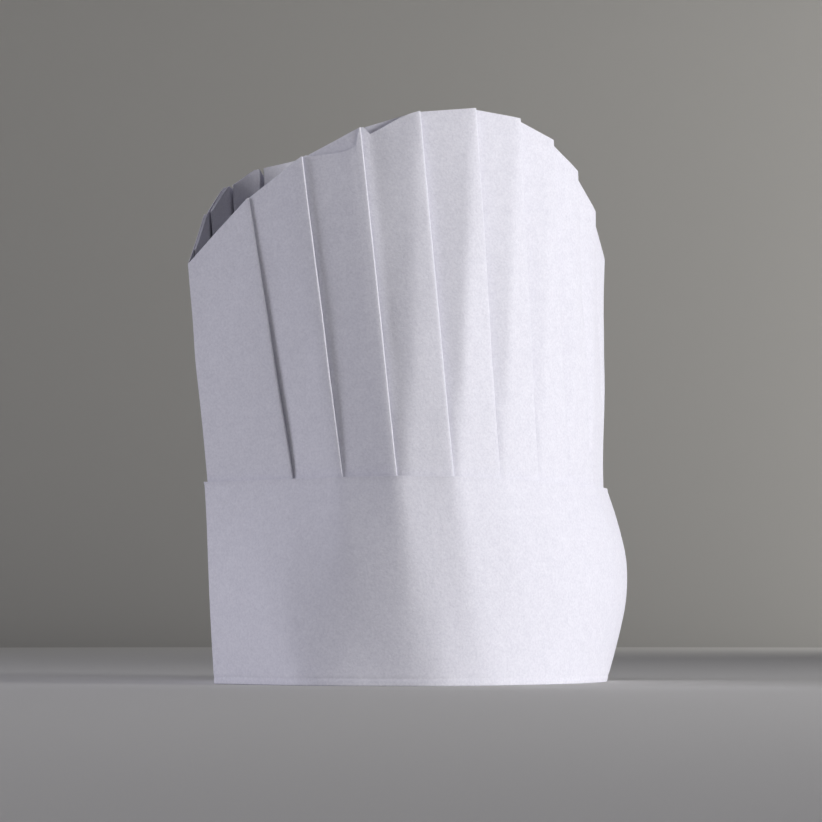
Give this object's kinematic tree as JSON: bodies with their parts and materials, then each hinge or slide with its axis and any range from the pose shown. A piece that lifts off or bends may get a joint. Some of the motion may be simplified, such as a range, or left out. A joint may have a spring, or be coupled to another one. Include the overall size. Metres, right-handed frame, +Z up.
{
  "type": "chef hat",
  "caption": "Tall open-topped chef's hat with a knife-pleated crown cut in an arc above a plain wide headband.",
  "frame": {"origin": "centre of the bounding box on the surface that the hat's lower rim rests on", "axes": "+Z up out of the rim, -Y towards the front crease, +X towards the wearer's left"},
  "size_m": [0.18, 0.2264, 0.2601],
  "materials": {
    "crown_cloth": "matte thin white non-woven cloth with pressed pleats",
    "band_cloth": "matte white non-woven cloth, folded double, with a pressed lower hem"
  },
  "bodies": {
    "root": {"crown": "crown_cloth", "headband": "band_cloth"}
  },
  "joints": []
}
